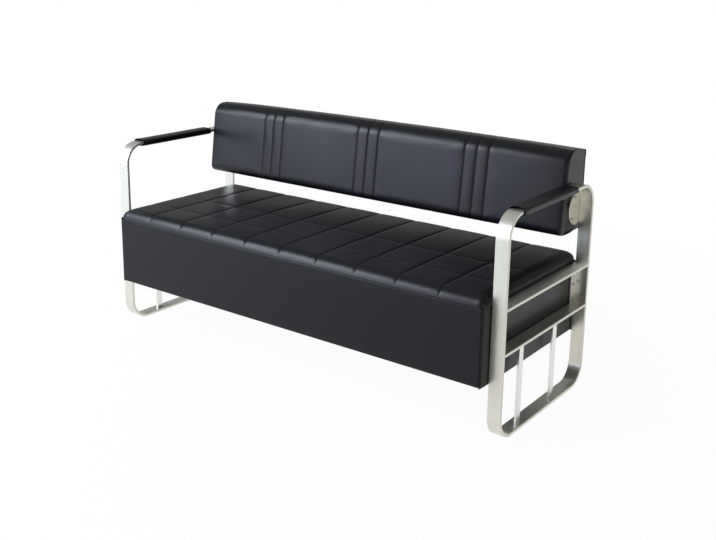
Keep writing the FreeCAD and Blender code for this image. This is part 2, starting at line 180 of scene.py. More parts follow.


# %% [markdown]
# ## Leatherette
# The covers are coated cloth with a fine pebbled grain and a satin gloss. The grain could be a flat roughness, but
# close up the pebbles show, so a Voronoi pattern of about 1.3 mm drives a bump, and a slow noise makes the gloss
# patchy, as handling does. The creases between the pebbles are painted darker, as painted shade in the grain's
# hollows.

# %% Make the leatherette and the sewing thread
def leatherette(name, crease, pebble, gloss):
    """Pebbles: smooth Voronoi distance plus fine noise, used for roughness, bump and colour, which paints shade into
    the creases.
    """
    tree = Tree(bpy.data.materials.new(name))
    place = tree.pattern_place()
    pebbles = {"Vector": place, "Scale": 760.0, "Smoothness": 0.6}
    cells = tree.node("ShaderNodeTexVoronoi", {"feature": "SMOOTH_F1"}, pebbles)
    fine = tree.noise(place, scale=1900.0, detail=3.0)
    slow = tree.noise(place, scale=7.0, detail=4.0)
    grain = 1 - cells * 1.1 + fine * 0.25
    return tree.surface(
        # Painted shade: the creases between the pebbles take the darker colour.
        Base_Color=tree.blend_colours(grain, crease, pebble),
        Roughness=gloss + slow * 0.16 - grain * 0.05,
        Normal=tree.bump(grain, strength=0.12, distance=0.0005),
        Specular_IOR_Level=0.25,
    )


# The crease colour is painted shade that darkens the hollows between the pebbles.
crease_shade_black, pebble_black = (0.004, 0.004, 0.005, 1), (0.008, 0.008, 0.010, 1)
black_leatherette = leatherette("black_leatherette", crease_shade_black, pebble_black, gloss=0.27)


def sewing_thread(name, colour):
    """Twisted yarn: a fast wave across the stitch makes the plies, and painted shade darkens the grooves between
    them.
    """
    tree = Tree(bpy.data.materials.new(name))
    twist = {"Vector": tree.pattern_place(), "Scale": 900.0, "Distortion": 1.0}
    plies = tree.node("ShaderNodeTexWave", {"bands_direction": "DIAGONAL"}, twist, output=1)
    # Painted shade: the grooves between the plies take a darker copy of the thread colour.
    shade = tuple(0.6 * part for part in colour[:3]) + (1,)
    return tree.surface(
        Base_Color=tree.blend_colours(plies, shade, colour),
        Roughness=0.55 + plies * 0.2,
        Normal=tree.bump(plies, strength=0.4, distance=0.0002),
    )


black_thread = sewing_thread("black_thread", (0.035, 0.036, 0.040, 1))
print("made", black_leatherette.name, "and", black_thread.name)


# %% [markdown]
# ## Brushed steel
# The loops are stainless flat bar, ground with a belt along its length. Fine scratches run with the bar, so the
# pattern is stretched: many lines across it and hardly any change along it. Round a bend the scratches follow the bar
# by themselves, because only the distance across its width is used. Slats and plates are brushed the other way.
# The bars could be pure metal, but deep scratches scatter a part of the light, so a share of them is matte.

# %% Make the steel, brass, board, foam and dust cloth finishes
def brushed_metal(name, dark, light, across, gloss, metallic=1.0):
    """Scratches: noise that is fast along `across` and slow along the rest, for colour, roughness and bump. The share
    that isn't metallic stands for light which deep scratches scatter widely."""
    tree = Tree(bpy.data.materials.new(name))
    lines = tree.noise(tree.pattern_place(across), scale=1.0, detail=5.0, roughness=0.7)
    cloudy = tree.noise(tree.pattern_place(), scale=9.0, detail=2.0)
    return tree.surface(
        Base_Color=tree.blend_colours(lines, dark, light),
        Metallic=metallic,
        Roughness=gloss + lines * 0.12 + cloudy * 0.06,
        Normal=tree.bump(lines, strength=0.05, distance=0.0002),
    )


def grainy(name, dark, light, scale, stretch, roughness):
    """Two-tone matte stuff: stretched noise mixes the tones and raises a bump."""
    tree = Tree(bpy.data.materials.new(name))
    marks = tree.noise(tree.pattern_place(stretch), scale, detail=6.0)
    return tree.surface(
        Base_Color=tree.blend_colours(marks, dark, light),
        Roughness=roughness + marks * 0.1,
        Normal=tree.bump(marks, strength=0.3, distance=0.0006),
    )


steel_dark, steel_light = (0.555, 0.545, 0.475, 1), (0.890, 0.875, 0.770, 1)
slat_dark, slat_light = (0.680, 0.675, 0.650, 1), (0.950, 0.945, 0.915, 1)
along_bar, upright, turned = (900, 5, 5), (900, 900, 5), (40, 700, 700)
bar_steel = brushed_metal("bar_steel", steel_dark, steel_light, along_bar, 0.22, metallic=0.78)
slat_steel = brushed_metal("slat_steel", slat_dark, slat_light, upright, 0.22)
turned_steel = brushed_metal("turned_steel", steel_dark, steel_light, turned, 0.18)
screw_steel = brushed_metal("screw_steel", (0.45, 0.45, 0.44, 1), (0.66, 0.66, 0.65, 1), (300, 300, 300), 0.25)
weld_steel = brushed_metal("weld_steel", (0.62, 0.61, 0.58, 1), (0.90, 0.89, 0.86, 1), (500, 500, 500), 0.22)
insert_brass = brushed_metal("insert_brass", (0.55, 0.42, 0.20, 1), (0.75, 0.60, 0.31, 1), turned, 0.25)
birch_board = grainy("birch_board", (0.42, 0.29, 0.17, 1), (0.66, 0.50, 0.32, 1), 60.0, (1, 8, 8), 0.55)
seat_foam_stuff = grainy("seat_foam_stuff", (0.72, 0.66, 0.50, 1), (0.86, 0.81, 0.66, 1), 500.0, (1, 1, 1), 0.8)
dust_cloth = grainy("dust_cloth", (0.014, 0.014, 0.015, 1), (0.035, 0.035, 0.037, 1), 1400.0, (1, 1, 1), 0.8)

finish_of = {
    "loop": bar_steel, "rail": bar_steel, "slat": slat_steel, "seat_plate": slat_steel, "flange": turned_steel,
    "screws": screw_steel, "inserts": insert_brass, "foam": seat_foam_stuff,
}
for name, node in nodes.items():
    ending = next((key for key in finish_of if name.endswith(key)), None)
    finish = birch_board if ending is None or name.startswith("back_") and ending == "rail" else finish_of[ending]
    for slot in node.material_slots:
        slot.material = finish
print("finishes on", len(nodes), "CAD nodes")


# %% [markdown]
# ## Meshes from grids
# Every cover is a sheet that has been bent, so each is worked out as a grid of points in two directions and turned
# into quads in one step. Sculpting would be quicker to start but could not be repeated when a size changes.

# %% Turn grids of points into pieces
def grid_faces(rows, columns, closed_rows=False, closed_columns=False):
    """Quads between neighbours of a rows x columns grid, joined round where a direction is closed."""
    first = np.arange(rows if closed_rows else rows - 1)
    second = np.arange(columns if closed_columns else columns - 1)
    r, c = np.meshgrid(first, second, indexing="ij")
    r1, c1 = (r + 1) % rows, (c + 1) % columns
    quads = [r * columns + c, r1 * columns + c, r1 * columns + c1, r * columns + c1]
    return np.stack(quads, -1).reshape(-1, 4)


def tube_faces(tubes):
    """Walls and end caps of several tubes, each rings x sides, whose points are laid end to end."""
    faces, first = [], 0
    for tube in tubes:
        rings, sides = tube.shape[:2]
        walls = grid_faces(rings, sides, closed_columns=True) + first
        caps = np.stack([np.arange(sides)[::-1], np.arange(sides) + (rings - 1) * sides]) + first
        faces += walls.tolist() + caps.tolist()
        first += rings * sides
    return faces


def make_piece(name, points, faces, finish):
    """A smooth-shaded mesh object at the origin, with its place in its points. Faces are lists of point numbers."""
    mesh = bpy.data.meshes.new(name)
    mesh.from_pydata(points.reshape(-1, 3).tolist(), [], faces)
    mesh.polygons.foreach_set("use_smooth", np.ones(len(mesh.polygons), bool))
    mesh.materials.append(finish)
    mesh.update()
    piece = bpy.data.objects.new(name, mesh)
    scene.collection.objects.link(piece)
    return piece


def grid_piece(name, points, finish, closed_rows=False, closed_columns=False):
    """A piece from one grid of points."""
    rows, columns = points.shape[:2]
    return make_piece(name, points, grid_faces(rows, columns, closed_rows, closed_columns).tolist(), finish)


def unit(vectors):
    """Vectors in the same directions, each of length 1."""
    return vectors / np.maximum(np.linalg.norm(vectors, axis=-1, keepdims=True), 1e-12)


def normals_of(points):
    """Unit normals of a grid: the cross product of its two directions."""
    return unit(np.cross(np.gradient(points, axis=0), np.gradient(points, axis=1)))


def rings_round(first, second, sides):
    """Rings of radius 1, cos a f + sin a s, for each pair of vectors f and s."""
    turn = np.linspace(0, 2 * np.pi, sides, endpoint=False)[:, None]
    return np.cos(turn) * first[..., None, :] + np.sin(turn) * second[..., None, :]


def stations(stops, counts, gathered):
    """Places along a line through every stop. Between two stops the steps shrink towards both, by
    t - g sin(2 pi t) / 2 pi."""
    runs = []
    for low, high, count, gather in zip(stops[:-1], stops[1:], counts, gathered):
        t = np.arange(count) / count
        runs.append(low + (high - low) * (t - gather * np.sin(2 * np.pi * t) / (2 * np.pi)))
    return np.append(np.concatenate(runs), stops[-1])


def nearest(values, lines):
    """Distance from each value to the nearest of some lines."""
    return np.abs(np.asarray(values)[..., None] - np.asarray(lines)).min(-1)


def corners(node):
    """Low and high corner of a CAD node as two arrays."""
    low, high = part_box(node)
    return np.array(low), np.array(high)


def cover_of(piece, *covered, fill):
    """Parents a padded leatherette cover to the root body and hides the CAD nodes that it stands for. fill is not
    used.
    """
    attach(piece, "root")
    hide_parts(*covered)


def trim_of(piece):
    """Parents a piece that stands for no CAD node to the root body, so that it stays fixed to the part."""
    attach(piece, "root")


ends = ((1, "right"), (-1, "left"))
hair = 1e-6
seam_gather = 0.88
print("grid helpers ready")


# %% [markdown]
# ## Filling a cover
# A sewn cover is slack cloth that foam pushes out wherever no seam holds it. Bulges could be drawn by formula alone,
# but cloth decides better how they meet at the seams, so each formula gives only a starting shape. The seams are
# pinned, a pressure from inside swells the rest for twenty steps, and no point may travel further than a cap.

# %% Swell a pinned cover with the cloth solver
solver_steps = 20


def points_of(mesh):
    """Points of a mesh as an array."""
    points = np.empty(len(mesh.vertices) * 3)
    mesh.vertices.foreach_get("co", points)
    return points.reshape(-1, 3)


def swell(piece, pinned, pressure, cap, slack):
    """Pins some vertices, runs the cloth solver under pressure, and lets a travel d go no further than
    cap tanh(|d| / cap)."""
    rest = points_of(piece.data)
    group = piece.vertex_groups.new(name="seams")
    group.add(np.flatnonzero(pinned).tolist(), 1.0, "REPLACE")
    cloth = piece.modifiers.new("cloth", "CLOTH")
    settings = cloth.settings
    settings.quality = 6
    settings.mass = 0.4
    settings.tension_stiffness = settings.compression_stiffness = 25
    settings.shear_stiffness = 8
    settings.bending_stiffness = 0.8
    settings.shrink_min = -slack
    settings.vertex_group_mass = "seams"
    settings.use_pressure = True
    settings.uniform_pressure_force = pressure
    settings.effector_weights.gravity = 0
    cloth.collision_settings.use_collision = False
    cloth.point_cache.frame_start, cloth.point_cache.frame_end = 1, solver_steps
    for step in range(1, solver_steps + 1):
        scene.frame_set(step)
    swollen = piece.evaluated_get(bpy.context.evaluated_depsgraph_get())
    travel = points_of(swollen.data) - rest
    length = np.linalg.norm(travel, axis=1, keepdims=True)
    travel *= cap * np.tanh(length / cap) / np.maximum(length, 1e-9)
    piece.modifiers.remove(cloth)
    piece.vertex_groups.remove(group)
    piece.data.vertices.foreach_set("co", (rest + travel).ravel())
    piece.data.update()
    scene.frame_set(1)
    print(piece.name, "swelled by up to", round(float(length.max()) * 1000, 1), "mm, capped at", cap * 1000)


def smooth_once(piece, seam_edges=None):
    """One subdivision, with the given edges kept sharp."""
    if seam_edges is not None:
        keys = np.empty(len(piece.data.edges) * 2, int)
        piece.data.edges.foreach_get("vertices", keys)
        crease = piece.data.attributes.new("crease_edge", "FLOAT", "EDGE")
        crease.data.foreach_set("value", seam_edges[keys.reshape(-1, 2)].all(1).astype(float))
    modifier = piece.modifiers.new("smooth", "SUBSURF")
    modifier.levels = modifier.render_levels = 1


# %% [markdown]
# ## Quilted seat top
# The top is one sheet, quilted in ten columns and three rows over a thick pad. It could be a box with a bevel and
# grooves cut in, but leatherette rolls over foam and tucks in at the seams, so a flat sheet is bent down at its
# edges: it falls by 62 degrees to the apron at the front, and in a full roll at both ends and the rear. Its relief is
# added along its normals.

# %% Sew the quilted seat top
quilt_low, quilt_high = corners("seat_quilted_top")
padded_front = 0.008
seat_low, seat_high = quilt_low[:2] - (0, padded_front), quilt_high[:2]
seam_height = quilt_low[2] + 0.002
pad_height = 0.0300
# Each roll's values stand for X and Y, first where the sheet is low along them and then where it is high.
roll_span = np.array([[0.060, 0.054], [0.060, 0.066]])
roll_width = np.array([[0.0445, 0.0460], [0.0445, 0.0520]])
roll_turn = np.radians([[95, 62], [95, 95]])
end_clearance = np.array([0.0012, 0.0])
column_pitch = 0.156
row_seams = np.array([-0.188, -0.032])
column_seams = column_pitch * np.arange(-4, 5)


def rolled_sheet(plan, low, high, height, squareness):
    """Bends a flat sheet down over a pad. Within low..high it stays flat. Beyond, an overhang grows to 1 at the hem,
    and the cloth turns by a, the roll's whole turn T times the larger overhang: out = w sin a, and the drop is the
    height times (1 - cos a) / (1 - cos T). At corners the way out is shared by a p-norm of the two overhangs."""
    held = np.clip(plan, low, high)
    span, width, turn = (np.where(plan < held, roll[0], roll[1]) for roll in (roll_span, roll_width, roll_turn))
    over = np.abs(plan - held) / span
    size = (over**squareness).sum(-1) ** (1 / squareness)
    way = over / np.maximum(size, 1e-12)[..., None]
    whole = np.maximum((turn * way**squareness).sum(-1), 1e-3)
    angle = whole * over.max(-1)
    flat = held + np.sign(plan - held) * way * width * np.sin(angle)[..., None]
    drop = height * (1 - np.cos(angle)) / (1 - np.cos(whole))
    return np.concatenate([flat, -drop[..., None]], -1)


def tuck(distance, crisp, soft):
    """How deep a seam holds the cloth: two falling exponentials, a crisp one at the thread and a soft one in the
    padding, each with its depth and its reach."""
    return crisp[0] * np.exp(-distance / crisp[1]) + soft[0] * np.exp(-distance / soft[1])


front_inset = np.array([0.0, 0.0010])
sheet_low = seat_low + end_clearance + front_inset + roll_width[0] * np.sin(np.minimum(roll_turn[0], np.pi / 2))
sheet_high = seat_high - end_clearance - roll_width[1]


def hem_to_hem(axis, seams):
    """Stops along one axis: hem, start of the flat part, seams, end of the flat part, hem."""
    low, high = sheet_low[axis], sheet_high[axis]
    return np.array([low - roll_span[0, axis], low, *seams, high, high + roll_span[1, axis]])


x_stops, y_stops = hem_to_hem(0, column_seams), hem_to_hem(1, row_seams)
x_line = stations(x_stops, [18, 12] + [16] * 8 + [12, 18], [0, *[seam_gather] * 10, 0])
y_line = stations(y_stops, [22, 14, 16, 22, 18], [0, *[seam_gather] * 3, 0])
plan = np.stack(np.meshgrid(x_line, y_line, indexing="ij"), -1)
smooth_sheet = rolled_sheet(plan, sheet_low, sheet_high, pad_height, 3.6)
smooth_sheet[..., 2] += seam_height + pad_height
sheet_out = normals_of(smooth_sheet)

from_column = nearest(plan[..., 0], column_seams)
from_row = nearest(plan[..., 1], row_seams)
from_front = plan[..., 1] - y_stops[0]
from_edge = np.minimum(np.minimum(nearest(plan[..., 0], x_stops[[0, -1]]), y_stops[-1] - plan[..., 1]), from_front)
middle, reach = (sheet_high + sheet_low) / 2, (sheet_high - sheet_low) / 2
crown_rise, pad_rise = 0.0025, 0.0050
column_tuck = (0.0026, 0.0022), (0.0014, 0.014)
row_tuck = (0.0011, 0.0024), (0.0007, 0.014)
edge_fade, front_fade = 0.012, 0.025
crown = crown_rise * np.prod(np.clip(1 - ((plan - middle) / reach) ** 4, 0, 1), axis=-1)
padding = pad_rise - tuck(from_column, *column_tuck) - tuck(from_row, *row_tuck)
relief = (crown + padding) * (1 - np.exp(-from_edge / edge_fade)) * (1 - np.exp(-from_front / front_fade))
quilt = smooth_sheet + sheet_out * relief[..., None]
hem = np.pad(quilt, ((1, 1), (1, 1), (0, 0)), mode="edge")
hidden = np.pad(np.zeros(quilt.shape[:2], bool), 1, constant_values=True)
tuck_in = 0.006
hem[hidden, :2] = np.clip(hem[hidden, :2], seat_low + tuck_in, seat_high - tuck_in)
seat_top = grid_piece("seat_quilted_cover", hem, black_leatherette)
on_seam = np.pad((from_column < hair) | (from_row < hair), 1).ravel()
on_border = np.pad(from_edge < hair, 1, constant_values=True).ravel()
swell(seat_top, on_seam | on_border, pressure=1.5, cap=0.0015, slack=0.002)
smooth_once(seat_top, on_seam)
cover_of(seat_top, "seat_quilted_top", "seat_foam", fill=0.8)
print("quilted top", quilt.shape[:2], "points, highest", round(float(quilt[..., 2].max()), 4))


# %% [markdown]
# ## Stitches
# Every seam is held by a row of lockstitches. They could be painted on, but a painted stitch has no shadow, so each
# is a short arched thread with pointed ends. All stitches of a cover are one mesh, worked out at once from its seams.

# %% Write the stitch maker and sew the quilting
def along_path(path, places):
    """Points at given distances along a path, by linear interpolation of every column of the path's array."""
    distance = np.concatenate([[0], np.cumsum(np.linalg.norm(np.diff(path[:, :3], axis=0), axis=1))])
    return np.stack([np.interp(places, distance, column) for column in path.T], -1)


def stitch_row(path, out, pitch, length, radius):
    """Points of one row: s runs from -1 to 1 along a stitch, whose middle is p + t s l / 2 + n r (1.2 - 1.4 s^2),
    with a ring of radius r (1 - 0.7 s^4) round it. Returned as stitches x rings x sides."""
    both = np.concatenate([path, out], 1)
    total = np.linalg.norm(np.diff(path, axis=0), axis=1).sum()
    count = int(total // pitch)
    places = (np.arange(count) + 0.5) * total / count
    here = along_path(both, places)
    step = 1e-4
    ahead = unit(along_path(both, places + step)[:, :3] - along_path(both, places - step)[:, :3])
    up = unit(here[:, 3:] - ahead * (here[:, 3:] * ahead).sum(1, keepdims=True))
    s = np.linspace(-1, 1, 5)
    along, arch = s * length / 2, radius * (1.2 - 1.4 * s**2)
    spine = here[:, None, :3] + ahead[:, None] * along[:, None] + up[:, None] * arch[:, None]
    ring = rings_round(up, np.cross(up, ahead), 5)
    width = radius * (1 - 0.7 * s**4)
    return spine[:, :, None] + width[None, :, None, None] * ring[:, None]


def stitches(name, rows, pitch=0.006, length=0.0044, radius=0.00045):
    """One piece from many rows of (path, outward normals), with the ends of every thread closed."""
    threads = np.concatenate([stitch_row(path, out, pitch, length, radius) for path, out in rows])
    trim_of(make_piece(name, threads, tube_faces(threads), black_thread))
    print(name, len(threads), "stitches in", len(rows), "rows")


column_rows = [(quilt[i], sheet_out[i]) for i in np.flatnonzero(nearest(x_line, column_seams) < hair)]
across_rows = [(quilt[:, j], sheet_out[:, j]) for j in np.flatnonzero(nearest(y_line, row_seams) < hair)]
stitches("seat_quilting", column_rows + across_rows)


# %% [markdown]
# ## Seat panels
# Below the quilt the seat box is covered with plain panels: an apron, two end panels and a rear panel. The end panels
# are sewn to the apron at the front corners, and a round ear of each closes an end of the quilt's front roll. A panel
# could be a thin box, but cloth pulled over a board edge turns under with a small radius, stands a little full in the
# middle and is folded to a ridge where it is topstitched under the quilt. So one upright section is carried along the
# line of the box in plan.

# %% Fit the apron and the plain panels
def rounded_line(points, radii, closed, steps):
    """Line through points, each corner replaced by an arc that starts r / tan(half the corner's angle) before it."""
    points = np.asarray(points, float)
    before = np.roll(points, 1, 0)
    after = np.roll(points, -1, 0)
    inner = range(len(points)) if closed else range(1, len(points) - 1)
    line = [] if closed else [points[:1]]
    for i in inner:
        back, ahead = unit(before[i] - points[i]), unit(after[i] - points[i])
        half = math.acos(np.clip(back @ ahead, -1, 1)) / 2
        middle = points[i] + unit(back + ahead) * radii[i] / math.sin(half)
        start = points[i] + back * radii[i] / math.tan(half) - middle
        end = points[i] + ahead * radii[i] / math.tan(half) - middle
        turn = np.linspace(0, 1, steps)[:, None] * (np.pi - 2 * half)
        side = unit(end - start * math.cos(np.pi - 2 * half)) * radii[i]
        line.append(middle + start * np.cos(turn) + side * np.sin(turn))
    if not closed:
        line.append(points[-1:])
    return np.concatenate(line)


def even_line(points, radii, count, closed=False, steps=14, gathered=0.0):
    """The rounded line with points at equal distances along it, or gathered towards its ends."""
    line = rounded_line(points, radii, closed, steps)
    line = np.concatenate([line, line[:1]]) if closed else line
    total = np.linalg.norm(np.diff(line, axis=0), axis=1).sum()
    places = np.linspace(0, total, count, endpoint=False) if closed else stations([0, total], [count - 1], [gathered])
    return along_path(line, places)


def side_of(line):
    """Unit normals on the right hand of a flat line."""
    heading = unit(np.gradient(line, axis=0))
    return np.stack([heading[:, 1], -heading[:, 0]], -1)


panel_low, panel_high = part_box("seat_apron")[0].z + 0.003, seam_height
ridge_drop, ridge_width = 0.0038, 0.0022
topstitch_drop, topstitch_width = 0.0076, 0.0013


def hill(distance, width):
    """Round hill, exp(-(d / w)^2)."""
    return np.exp(-((distance / width) ** 2))


def upright_section(turn_in, fold_radius, fullness, ridge, count=54):
    """Section of a panel as (outwards, height): in from below, round the lower edge, up, and round the upper edge. It
    stands out by fullness times sin(pi t), has a round ridge under its upper edge, and sinks at the topstitching."""
    foot, top_turn_in, top_radius = panel_low + 0.0005, 0.006, 0.0015
    corner = [(-turn_in, foot), (0, foot), (0, panel_high), (-top_turn_in, panel_high)]
    section = even_line(corner, [0, fold_radius, top_radius, 0], count, gathered=0.86)
    down = panel_high - section[:, 1]
    section[:, 0] += fullness * np.sin(np.pi * np.clip(down / (panel_high - panel_low), 0, 1))
    sunk = 0.8 * hill(down - topstitch_drop, topstitch_width)
    section[:, 0] += ridge * (hill(down - ridge_drop, ridge_width) - sunk)
    return section


def panel_along(name, line, section, node, ear=0.0):
    """A panel: each point of the plan line moves out along its normal by the section's first part, at its height. An
    ear lifts its top by e sqrt(1 - d^2) u^2, with d the distance from the front roll's middle over its radius, and u
    the height within the top 40 mm, and draws it in by a quarter of the lift."""
    outward = side_of(line)
    from_roll = (line[:, 1] - seat_low[1] - ear_middle) / ear_radius
    near_top = np.clip((section[:, 1] - panel_high) / ear_height + 1, 0, 1)
    lift = ear * np.sqrt(np.clip(1 - from_roll**2, 0, 1))[:, None] * near_top[None] ** 2
    drawn = section[None, :, :1] - 0.25 * (lift * near_top**3)[..., None]
    points = np.empty((len(line), len(section), 3))
    points[..., :2] = line[:, None] + outward[:, None] * drawn
    points[..., 2] = section[None, :, 1] + lift
    piece = grid_piece(name, points, black_leatherette)
    smooth_once(piece)
    cover_of(piece, node, fill=panel_fill)
    sewn_at = np.abs(panel_high - section[:, 1] - topstitch_drop).argmin()
    return points[:, sewn_at], np.insert(outward, 2, 0.0, axis=1)


panel_fill = 0.9
seam_radius, corner_radius, rear_radius = 0.0025, 0.006, 0.010
seam_x, end_x = seat_high[0] - 0.0085, seat_high[0] - 0.0015
seam_gap, rear_lap = 0.0004, 0.001
ear_middle, ear_radius, ear_height = 0.015, 0.018, 0.040
ear_lift = {"right": 0.014, "left": 0.004}
front_y = seat_low[1]
fold_in = front_y + 0.008
rear_back = corners("seat_rear_cover")[0][1]
front_plan = [(-seam_x, fold_in), (-seam_x, front_y), (seam_x, front_y), (seam_x, fold_in)]
front_line = even_line(front_plan, [0, seam_radius, seam_radius, 0], 200, gathered=0.9)
front_section = upright_section(turn_in=0.024, fold_radius=0.003, fullness=0.0015, ridge=0.0006)
front_row = panel_along("seat_front_apron", front_line, front_section, "seat_apron")
start_x = seam_x + seam_gap
end_plan = [(start_x, fold_in), (start_x, front_y), (end_x, front_y), (end_x, rear_back + rear_lap)]
end_line = even_line(end_plan, [0, seam_radius, corner_radius, 0], 170, gathered=0.9)
end_section = upright_section(turn_in=0.005, fold_radius=0.003, fullness=0.0, ridge=0.0)
for side, name in ends:
    line = end_line[::side] * (side, 1)
    panel_along(name + "_seat_end_panel", line, end_section, name + "_seat_end_cover", ear=ear_lift[name])
rear_plan = [(seat_high[0], rear_back), seat_high, (seat_low[0], seat_high[1]), (seat_low[0], rear_back)]
rear_line = even_line(rear_plan, [0, rear_radius, rear_radius, 0], 160, gathered=0.8)
rear_section = upright_section(turn_in=0.020, fold_radius=0.005, fullness=0.001, ridge=0.0006)
rear_row = panel_along("seat_rear_panel", rear_line, rear_section, "seat_rear_cover")
stitches("seat_topstitching", [front_row, rear_row])
print("apron and panels from", round(panel_low, 3), "to", round(panel_high, 3), "m")


# %% [markdown]
# ## Backrest cover
# One sheet runs from the rear of the backrest under it, up the leaning front, over the round top and down the rear
# edge. Three groups of three sewn channels hold it down, and at both ends it rolls back to the end panels. A lofted
# solid would give the outline, but not the way the sheet sinks at the channels, so the profile is carried along X
# with its relief, and the cloth solver fills it.

# %% Sew the backrest cover
back_end = corners("back_front_cover")[1][0]
rear_low, rear_high = corners("back_rear_cover")
top_arch = 0.0055
rear_y, underside, rear_top = rear_high[1], rear_low[2] - 0.003, rear_high[2] - top_arch
back_depth = 0.182
lean, fall = math.tan(math.radians(7.0)), math.tan(math.radians(6.5))
front_foot = rear_y - back_depth
peak_z = (rear_top + fall * (back_depth + underside * lean)) / (1 + fall * lean)
peak_y = front_foot + (peak_z - underside) * lean
back_outline = [(rear_y, underside), (front_foot, underside), (peak_y, peak_z), (rear_y, rear_top)]
back_radii = [0.008, 0.024, 0.050, 0.008]
wrap = 0.022
profile_points = [(rear_y, underside + wrap), *back_outline, (rear_y, rear_top - wrap)]
profile = even_line(profile_points, [0, *back_radii, 0], 116, steps=20)
profile_out = -side_of(profile)


def drawn_in(points, front_draw, rear_draw, inset):
    """Moves the front back and the rear forward in proportion to the depth, and top and underside inwards."""
    front = front_foot + (points[..., 1] - underside) * lean
    share = 1 - (front_draw + rear_draw) / (rear_y - front)
    middle_z = (underside + peak_z) / 2
    y = rear_y - rear_draw - (rear_y - points[..., 0]) * share
    z = middle_z + (points[..., 1] - middle_z) * (1 - inset / (middle_z - underside))
    return np.stack([y, z], -1)


def arched(points):
    """Raises points (x, y, z) by the arch of the top edge, a (1 - (x / X)^2), in proportion to their height."""
    height = (points[..., 2] - underside) / (rear_top - underside)
    lifted = points.copy()
    lifted[..., 2] += top_arch * (1 - np.clip(points[..., 0] / back_end, -1, 1) ** 2) * height
    return lifted


end_face = corners("right_back_end_cover")[1][0]
corner_round, corner_proud, corner_power = 0.018, 0.0068, 0.6
end_draw, rear_draw, end_inset = 0.027, 0.008, 0.001
panel_sink, lip_draw = 0.0008, 0.0006
group_pitch, channel_pitch = 0.450, 0.046
three = np.arange(-1, 2)
channels = np.sort((group_pitch * three[:, None] + channel_pitch * three).ravel())
strip_rise, channel_tuck = 0.0022, ((0.0014, 0.0015), (0.0015, 0.007))
foot_plain, foot_fade, rear_fade, end_fade, proud_fade = 0.004, 0.02, 0.03, 0.12, 0.11
full_half = end_face + corner_proud - corner_round
turn = np.linspace(0, np.pi / 2, 15)[1:]
end_run = np.append(full_half + corner_round * np.sin(turn) ** corner_power, end_face - panel_sink)
run_draw = np.append(end_draw * (1 - np.cos(turn) ** corner_power), end_draw + lip_draw)
stops = np.array([-full_half, *channels, full_half])
counts = np.where(np.diff(stops) > 0.1, 20, 12)
back_x = np.concatenate([-end_run[::-1], stations(stops, counts, [seam_gather] * len(counts)), end_run])
front_draw = np.concatenate([run_draw[::-1], np.zeros(len(back_x) - 2 * len(run_draw)), run_draw])
strip_share = front_draw / end_draw
from_channel = nearest(back_x, channels)
above_foot, before_rear = profile[:, 1] - underside - foot_plain, rear_y - profile[:, 0]
sewn = np.clip(above_foot / foot_fade, 0, 1) * np.clip(before_rear / rear_fade, 0, 1)
fading = 1 - np.clip((np.abs(back_x) - back_end + end_fade) / end_fade, 0, 1) ** 2
strips = strip_rise - tuck(from_channel, *channel_tuck)
rise = strips[:, None] * sewn[None] * fading[:, None]
cover = np.empty((len(back_x), len(profile), 3))
proud = np.clip(np.abs(back_x) - end_face + panel_sink, 0, None)
towards_front = np.clip(before_rear / proud_fade, 0, 1) ** 2
cover[..., 0] = np.sign(back_x)[:, None] * (np.abs(back_x)[:, None] - proud[:, None] * (1 - towards_front)[None])
cover[..., 1:] = drawn_in(
    profile[None] + profile_out[None] * rise[..., None],
    front_draw[:, None],
    rear_draw * strip_share[:, None],
    end_inset * strip_share[:, None],
)
cover = arched(cover)
back_cover = grid_piece("backrest_cover", cover, black_leatherette)
on_channel = np.repeat(from_channel < hair, len(profile))
on_rim = np.repeat(front_draw[:, None] > 0, len(profile), 1) | (sewn < 0.5)[None]
swell(back_cover, on_channel | on_rim.ravel(), pressure=0.4, cap=0.0006, slack=0.0)
smooth_once(back_cover, on_channel)
cover_of(back_cover, "back_front_cover", "back_foam", fill=0.85)
front_part = np.flatnonzero(sewn > 0.3)
back_normals = np.insert(profile_out[front_part], 0, 0.0, axis=1)
channel_rows = [(cover[i, front_part], back_normals) for i in np.flatnonzero(from_channel < hair)]
stitches("back_channel_stitching", channel_rows)
print("backrest cover", cover.shape[:2], "points, channels at", np.round(channels, 3).tolist())


# %% [markdown]
# ## Backrest ends and rear
# Each end is closed by a flat panel sewn in with a thin piping, and the rear by a panel laid on. Between them the
# cloth is folded round the rear edge of the board, a squared quarter of an ellipse in plan. A panel could be one flat
# face, but drawn as rings between its middle and its outline its edge is evenly rounded whatever the outline is.

# %% Close the ends and the rear of the backrest
def ringed_panel(outline, axis, foot, height):
    """Rings t from 1 to 0 between a closed outline and its middle, off foot by height times sqrt(1 - t^14)."""
    t = np.concatenate([1 - 0.10 * np.linspace(0, 1, 10) ** 2, np.linspace(0.82, 0.0, 9)])
    middle = outline.mean(0)
    flat = middle + t[:, None, None] * (outline - middle)[None]
    off = np.repeat((foot + height * np.sqrt(1 - t**14))[:, None], len(outline), 1)
    return np.insert(flat, axis, off, axis=-1)


def join_poles(piece, outward):
    """Merges the ring that has shrunk to a point, and turns the faces to look outwards."""
    shell = bmesh.new()
    shell.from_mesh(piece.data)
    bmesh.ops.remove_doubles(shell, verts=shell.verts, dist=1e-6)
    bmesh.ops.dissolve_degenerate(shell, dist=1e-7, edges=shell.edges)
    shell.normal_update()
    if sum(face.normal.dot(Vector(outward)) * face.calc_area() for face in shell.faces) < 0:
        bmesh.ops.reverse_faces(shell, faces=shell.faces)
    shell.to_mesh(piece.data)
    shell.free()
    piece.data.polygons.foreach_set("use_smooth", np.ones(len(piece.data.polygons), bool))


